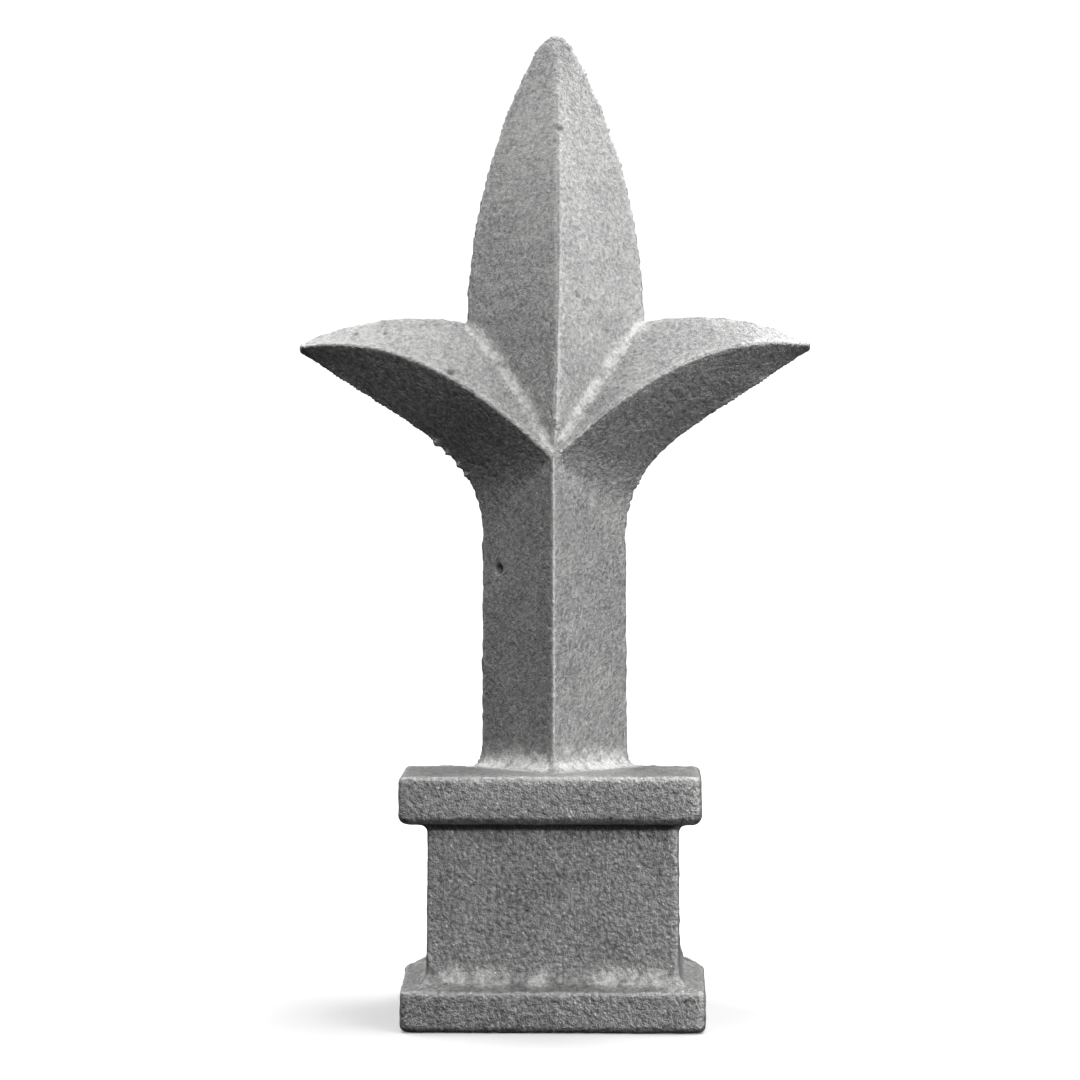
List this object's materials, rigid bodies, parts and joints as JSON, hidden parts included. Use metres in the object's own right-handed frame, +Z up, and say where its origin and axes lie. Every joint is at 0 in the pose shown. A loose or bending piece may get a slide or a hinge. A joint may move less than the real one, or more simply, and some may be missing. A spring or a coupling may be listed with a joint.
{
  "type": "fence picket finial",
  "caption": "Raw cast-iron fence picket finial: ridged spear blade between out-curving side leaves on a square stem, over a collared square socket that slips down over a picket",
  "frame": {"origin": "centre of the square rim of the socket, on its underside", "axes": "+Z up from the socket rim to the tip of the blade; -Y is the front, a ridge of the stem and blade faces it; the two side leaves reach out along +X and -X"},
  "size_m": [0.0556, 0.0306, 0.1062],
  "materials": {
    "raw_cast_iron": "shot-blasted bare grey iron, sand-grained all over, a little brighter along ridges and edges"
  },
  "bodies": {
    "root": {"finial_casting": "raw_cast_iron"}
  },
  "joints": []
}
